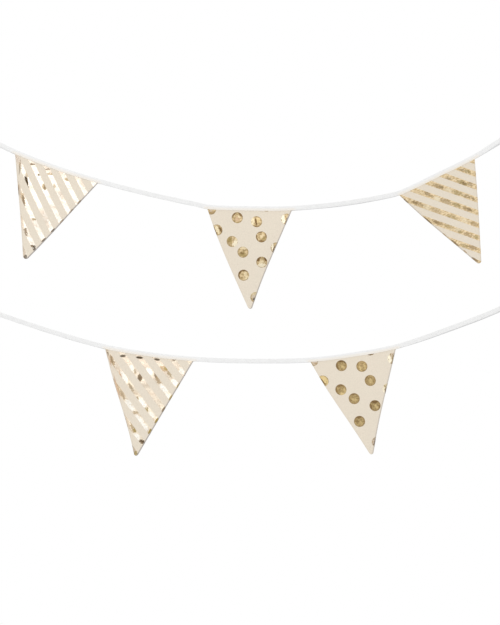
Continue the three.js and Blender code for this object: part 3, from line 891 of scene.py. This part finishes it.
sew_in(
    name="striped_flag_lower_left",
    fall=204.9,
    hang=7,
    left=(1.8, -1.2, 1.6, 2.4),
    right=(2.2, -0.4, 0, 3.8),
    stand=(4, -2, 4),
    folds=[(-66, 22, -20, 150, 13, -3), (40, 30, -30, 74, 13, 2)],
    creases=[
        (-76, 14, -38, 112, 5, -0.9),
        (-58, 20, -26, 100, 6, 0.6),
        (14, 20, 40, 70, 6, 0.6),
        (-20, 20, 0, 80, 6, -0.5),
    ],
    seed=7,
    bars=(-26.8, 34.8, 9.6),
    crush=(0.05, 0.14),
    blotch=(0.3, 0.62),
    metal=((0.68, 0.55, 0.41), (0.86, 0.77, 0.62)),
    rim=0.15,
    turned=0.85,
    crumple=0.3,
    shine=0.34,
    edge_lines=(0.1, 0.75),
    marks=[
        (0, 26, 85, 34, 0, blush, 0.75),
        (10, 80, 40, 16, 45, blush, 0.5),
        (-44, 53, 14, 5, 50, bright, 0.9),
        (-30, 33, 9, 4.5, 48, bright, 0.7),
        (5, 34, 9, 5, 45, bright, 0.9),
        (58.5, 50, 8, 6, 45, bright, 1),
        (69, 26, 8, 5, 45, bright, 0.9),
        (38, 65, 13, 5.5, 45, bright, 1),
        (0, 99, 13, 6, 45, bright, 1),
        (-25, 107, 16, 6, 45, bright, 1),
        (4, 139, 22, 6, 45, bright, 1),
        (-3, 167, 10, 6, 40, bright, 1),
        (21, 120, 7, 5, 45, bright, 0.8),
        (48, 79, 6, 5, 45, bright, 0.9),
        (52, 6, 6, 1.6, 0, umber, 0.8),
        (35, 25, 11, 5.6, 14, tan, 0.8),
        (38, 25, 6, 2.4, 14, olive, 0.8),
        (46.5, 35, 9, 4.6, 55, drab, 0.9),
        (19, 41, 6, 3, 58, umber, 0.9),
        (26, 50, 9, 5.6, 58, tan, 0.7),
        (-12, 49, 8.5, 4.8, 75, umber, 1),
        (-12, 51, 5, 3.4, 75, dark, 0.45),
        (-24, 38, 6, 2.8, 70, drab, 0.8),
        (-52, 50, 11, 2, 64, pink, 1),
        (-72, 26, 14, 4, 62, tan, 0.8),
        (-74, 22, 9, 1.8, 62, umber, 0.5),
        (-27, 72, 11, 4.6, 55, drab, 0.7),
        (-28, 70, 8, 2.4, 55, umber, 0.5),
        (-11, 91, 4.5, 2.4, 60, drab, 1),
        (-46, 83, 20, 5.4, 56, tan, 0.65),
        (-43, 88, 12, 2.4, 56, umber, 0.4),
        (10, 110, 5.5, 3.4, 70, olive, 0.8),
        (-10, 119.4, 9, 3, -8, drab, 0.8),
        (-12, 150, 14, 5, 60, drab, 1),
        (-9, 155, 6, 3, 60, olive, 0.8),
        (9, 175.5, 6.5, 4.8, 20, umber, 1),
        (10.5, 174, 4.5, 2.2, 20, dark, 0.8),
    ],
    edge_marks=[
        (-52.4, 11.4, 6.2, 2.3, -12, dark, 0.9),
        (-18.6, 9.4, 7.2, 2.5, -2, dark, 0.95),
        (17, 8.4, 6.2, 2.3, 2, dark, 0.9),
        (66, 56, 7, 1.7, -66, olive, 0.8),
        (54.5, 81, 6.5, 1.8, -66, olive, 0.9),
        (43.5, 106, 6.5, 1.9, -66, umber, 0.9),
        (32.5, 130, 6.5, 2, -66, olive, 1),
        (22, 153, 6, 2.2, -66, olive, 1),
        (0, 200, 5, 3.4, 90, olive, 0.8),
        (-83, 12, 4, 1.3, 66, umber, 0.7),
        (-76, 28, 9, 1.3, 67, pink, 0.8),
        (-55.5, 76, 26, 1.3, 67, pink, 0.8),
        (-23, 154, 12, 1.3, 67, drab, 0.7),
    ],
)
sew_in(
    name="striped_flag_upper_right",
    fall=197.8,
    hang=-25.4,
    left=(6, 1.2, 0.4, 1.8),
    right=(-2.6, 0.9, 0, 5.2),
    stand=(-3, 3, 2),
    folds=[(-42, 24, -6, 130, 16, 2), (30, 24, 16, 140, 14, -1.8)],
    creases=[(-60, 20, -20, 110, 6, 0.5), (20, 16, 30, 80, 6, -0.5)],
    seed=11,
    bars=(-30.2, 33.2, 10.2),
    crush=(0.15, 0.36),
    blotch=(0.36, 0.62),
    metal=((0.70, 0.52, 0.28), (0.98, 0.80, 0.53)),
    rim=0,
    turned=0,
    crumple=0.4,
    shine=0.42,
    edge_lines=(0.4, 0.15),
    marks=[
        (-62, 34, 15, 5, 45, tan, 0.65),
        (-66, 30, 6, 2.6, 45, brown, 0.4),
        (-48, 49, 9, 5, 45, cream, 0.35),
        (-34, 64, 12, 5, 45, tan, 0.35),
        (-10, 90, 14, 5, 45, olive, 0.4),
        (10, 108, 8, 5, 45, cream, 0.3),
        (24, 121, 9, 4.6, 45, tan, 0.6),
        (-36, 25, 7, 3.4, 55, brown, 0.5),
        (-30, 33, 6, 3, 60, tan, 0.6),
        (-22, 43, 7, 5, 45, cream, 0.6),
        (-8, 56, 13, 4.8, 45, brown, 0.42),
        (8, 72, 10, 4.6, 45, olive, 0.6),
        (25, 89, 12, 4.6, 45, tan, 0.65),
        (28, 91, 5, 2.4, 45, brown, 0.4),
        (-10, 21, 12, 4.8, 45, tan, 0.6),
        (-5, 26, 5, 3, 45, brown, 0.4),
        (6, 38, 8, 4.6, 45, cream, 0.4),
        (20, 51, 13, 4.6, 45, olive, 0.5),
        (34, 65, 9, 4, 45, brown, 0.42),
        (43, 74, 6, 3.4, 70, brown, 0.5),
        (15, 16, 7, 3, 40, brown, 0.5),
        (38, 37, 13, 4.6, 45, olive, 0.6),
        (40, 39, 5, 2.6, 45, brown, 0.5),
        (51, 46, 7, 4, 50, brown, 0.45),
        (46, 12, 6, 3, 35, brown, 0.5),
        (56, 20, 8, 3.6, 50, olive, 0.6),
        (-41, 86, 14, 4.6, 45, tan, 0.6),
        (-44, 84, 6, 2.4, 45, brown, 0.4),
        (-24, 103, 10, 4.6, 45, olive, 0.35),
        (-10, 118, 7, 4.6, 45, cream, 0.4),
        (-8, 124, 5, 3.4, 45, olive, 0.6),
        (6, 137, 11, 4.6, 45, tan, 0.65),
        (17, 147, 6, 4, 60, olive, 0.6),
        (-12, 153, 9, 4.6, 45, olive, 0.5),
        (2, 163, 11, 4.6, 45, tan, 0.7),
    ],
    edge_marks=[
        (-81, 20, 5.5, 1.8, 62, brown, 0.7),
        (-57, 74, 11, 1.5, 65, brown, 0.8),
        (-38.5, 115, 5, 1.2, 65, tan, 0.8),
        (-26.5, 139, 11, 1.6, 66, brown, 0.7),
        (-15, 164, 5, 1.2, 66, tan, 0.8),
        (-4, 187, 8, 2.2, 60, brown, 0.7),
    ],
)

# Spotted flags
# Gold spots 22 mm across, scattered and cut through at the seams. Both flags are cut from the
# same place in the print and hang nearly upright; their foil is painted in gold, darker on the
# lower flag as painted shade.
sew_in(
    name="spotted_flag_upper_middle",
    fall=201,
    hang=-0.3,
    left=(1.2, 3, 0.4, 2.8),
    right=(1.8, -3, 0.6, 3.8),
    stand=(5, 2, -3),
    folds=[(-30, 22, -8, 150, 16, -2.2), (44, 22, 18, 130, 14, 1.8)],
    creases=[(-60, 20, -30, 100, 7, 0.5), (10, 20, 4, 90, 7, -0.4)],
    seed=15,
    spots=[
        (-24.5, 19), (14, 26.5), (23.5, 57), (-35, 67), (-13.5, 88), (24, 107.5), (-12.5, 134),
        (-78, 4), (-65.2, 45), (74, 21.5), (53, 79), (12, 178), (34, -5.3),
    ],
    crush=(0.2, 0.2),
    blotch=(0.35, 0.62),
    metal=((0.40, 0.29, 0.145), (0.70, 0.545, 0.32)),
    rim=0.5,
    turned=0,
    crumple=0.3,
    shine=0.4,
    edge_lines=(0.05, 0.62),
    marks=[
        (-32, 13.5, 7.5, 2.6, -48, brown, 0.9),
        (-17, 13.5, 7, 2.6, 46, brown, 0.9),
        (-24, 22, 6, 5, 0, pink, 0.6),
        (-21, 18, 3, 3, 0, pale, 0.7),
        (-26, 29, 7, 1.8, 5, olive, 0.8),
        (5.5, 25, 4.6, 10, 0, pale, 1),
        (13, 26, 10, 2, 84, brown, 1),
        (17, 24, 4, 5, 0, gold, 0.5),
        (14, 34, 6, 2.8, 10, brown, 0.7),
        (21, 47.5, 9, 2.2, -14, brown, 0.8),
        (14.5, 58, 7, 2, 80, brown, 0.8),
        (24, 66, 9, 2.6, 6, brown, 0.8),
        (32.5, 54, 6, 1.8, 70, brown, 0.6),
        (24, 56, 4.4, 3.4, 0, pale, 0.55),
        (28, 60, 3.6, 5, 20, olive, 0.6),
        (-40, 64, 9, 4.6, 80, olive, 0.7),
        (-42, 70, 5, 2.4, 70, brown, 0.5),
        (-29, 71, 8, 5, -60, cream, 0.8),
        (-27, 62, 5, 3, -60, pale, 0.7),
        (-14, 92, 8, 5, 10, olive, 0.7),
        (-16, 90, 5, 2, 20, brown, 0.6),
        (-12, 80.5, 8, 2.6, 0, pale, 0.7),
        (16.5, 102, 7, 4.2, -45, brown, 1),
        (32.5, 102, 7, 3.2, 62, brown, 1),
        (24, 108, 5, 5, 0, pale, 0.7),
        (24, 114, 8, 4, 0, cream, 0.8),
        (-20.5, 128.5, 9, 3, -52, brown, 1),
        (-9, 125, 8, 2, 14, brown, 0.9),
        (-22, 137, 5, 2, 75, brown, 0.8),
        (-9, 132, 6, 3, 80, pale, 0.6),
        (-6, 139, 5, 3, -45, pale, 0.8),
        (-76, 10, 7, 3, 0, tan, 0.8),
        (-78, 4, 6, 4, 60, blush, 0.7),
        (-58, 44, 10, 2.2, 66, brown, 0.9),
        (-71.5, 44, 11, 1.8, 66, brown, 0.8),
        (-65, 44, 10, 3.8, 66, pale, 1),
        (67, 22, 4.4, 11, 0, cream, 1),
        (73, 26, 11, 2, -66, brown, 0.9),
        (80, 17, 12, 4.5, -66, dull, 0.8),
        (46, 78, 2.6, 9, 0, cream, 0.9),
        (53.5, 80, 9, 3, -68, pale, 0.8),
        (48.5, 80.5, 9, 1.5, -60, brown, 1),
        (11, 173, 9, 9, -60, pale, 0.7),
        (7, 178, 6, 4, -70, blush, 0.8),
        (8.5, 181.5, 3, 3, 0, dark, 0.9),
    ],
    edge_marks=[(-69.4, 46, 9, 1.4, 66, brown, 0.9)],
)
sew_in(
    name="spotted_flag_lower_right",
    fall=202.7,
    hang=-10.2,
    left=(2.4, 1.2, 1, 2.8),
    right=(0, -2.8, 0.6, 3.6),
    stand=(3, -2, -2),
    folds=[(-36, 24, -10, 150, 16, -1.8), (34, 24, 14, 140, 15, 1.6)],
    creases=[(-50, 24, -26, 100, 8, 0.4)],
    seed=19,
    spots=[
        (-28, 18.5), (12, 26), (23.5, 56.5), (-37.5, 66), (-14.5, 87.5), (24, 107.5),
        (-12, 134), (-83, 2), (-69.6, 44.5), (76, 21.5), (55.5, 79), (15.8, 180.5), (34, -4),
    ],
    crush=(0.3, 0.3),
    blotch=(0.3, 0.7),
    metal=((0.28, 0.195, 0.085), (0.54, 0.40, 0.195)),
    rim=0.6,
    turned=0,
    crumple=0.22,
    shine=0.42,
    edge_lines=(0.05, 0.42),
    marks=[
        (-26, 9.5, 8, 2.6, 0, brown, 1),
        (-37, 17, 8, 2.4, 80, brown, 0.7),
        (-20, 13, 4, 2.4, 45, dark, 0.5),
        (-26, 22, 5, 2.6, 60, gold, 0.6),
        (12, 22, 8, 1.6, 80, tan, 0.7),
        (8, 29, 6, 2.4, 80, gold, 0.7),
        (17, 27, 6, 1.8, 80, gold, 0.5),
        (5, 18, 6, 2, -50, brown, 0.6),
        (24, 58, 6, 4, 80, gold, 0.5),
        (17, 49, 7, 2.2, -40, brown, 0.6),
        (-38, 58, 9, 2.8, 0, brown, 0.7),
        (-46, 66, 7, 2.2, 85, brown, 0.6),
        (-36, 74.5, 7, 2.6, 0, gold, 0.9),
        (-30, 68, 5, 2.4, 80, gold, 0.6),
        (-15, 78.5, 8, 2.4, 0, brown, 0.6),
        (-14, 90, 6, 4, 30, gold, 0.5),
        (24, 99.5, 9, 3.2, 6, brown, 0.9),
        (15.5, 107, 7, 2.4, 80, brown, 0.7),
        (32, 110, 6, 2, 80, brown, 0.6),
        (26, 110, 6, 2.6, 70, gold, 0.7),
        (-12.5, 125.5, 9, 3, 0, brown, 0.7),
        (-17, 133, 5, 3, 60, brown, 0.4),
        (-9, 138, 5, 3, 60, gold, 0.4),
        (-67, 44, 12, 7.5, 66, gold, 1),
        (-78, 7, 8, 6, 30, blush, 0.75),
        (-76, 9, 5, 1.6, 10, tan, 0.9),
        (69, 22, 4.5, 11, 0, cream, 1),
        (80, 15, 14, 7, -70, blush, 0.9),
        (75.5, 21, 10, 1.7, -76, olive, 0.9),
        (54, 72, 9, 5, -72, pale, 0.9),
        (46.5, 78, 3.4, 11, 0, cream, 0.9),
        (50.5, 79, 9, 1.3, -72, brown, 0.8),
        (12, 180, 10, 8, -74, blush, 0.8),
        (10.5, 180, 7, 1.8, -70, brown, 0.8),
        (34, 6, 7, 1.5, 0, brown, 0.9),
    ],
    edge_marks=[(-69.8, 46.5, 9, 1.4, 62, brown, 0.9)],
)

# Floor, sky and lamp
# A plain pale floor well below the bunting, an even white studio and one soft lamp at the upper
# left. The studio is brighter above and to the left than it is round the camera, which is what
# the foil throws back.
bpy.ops.object.select_all(action="DESELECT")
bpy.ops.mesh.primitive_circle_add(
    vertices=96, radius=4.5, fill_type="NGON", location=(0.55, 0, -1.9)
)
bpy.ops.object.transform_apply()
floor = bpy.context.object
floor.name = "floor"
floor_paint, shader, dye = new_finish("pale_floor")
floor_tint = dye.node("ShaderNodeTexCoord", output=3).cloud(3).eased(0.2, 0.8)
floor_tint = floor_tint.mixed((0.80, 0.80, 0.79), (0.84, 0.84, 0.83))
soak(shader, Base_Color=floor_tint, Roughness=0.9)
floor.data.materials.append(floor_paint)

studio = bpy.data.worlds.new("white_studio")
scene.world = studio
studio.use_nodes = True
dye = Dye(studio.node_tree)
direction = dye.node("ShaderNodeTexCoord")
sideways, depthwise, upward = (
    dye.node("ShaderNodeSeparateXYZ", {0: direction}, output=i) for i in range(3)
)
over = upward.eased(0.06, 0.3) * (1.1 - sideways.eased(-0.3, 0.3) * 0.4)
under = upward.eased(-0.06, -0.2) * 0.15
seen_by_foil = 0.6 + over + under
behind = depthwise.eased(-0.1, 0.3)
seen_by_foil = seen_by_foil * (1 - behind) + behind * 0.9
glossy = dye.node("ShaderNodeLightPath", output=3)
to_camera = dye.node("ShaderNodeLightPath", output=0)
strength = 0.985 * (1 - glossy) + seen_by_foil * glossy
strength = strength * (1 - to_camera) + to_camera
soak(studio.node_tree.nodes["Background"], Color=(1, 1, 1, 1), Strength=strength)

bpy.ops.object.light_add(type="AREA", location=(-0.9, -4.2, 2.4))
lamp = bpy.context.object
lamp.data.size = 1.4
lamp.data.energy = 14
lamp_aim = Vector((0.5, 0, -0.3)) - lamp.location
lamp.rotation_euler = lamp_aim.to_track_quat("-Z", "Y").to_euler()
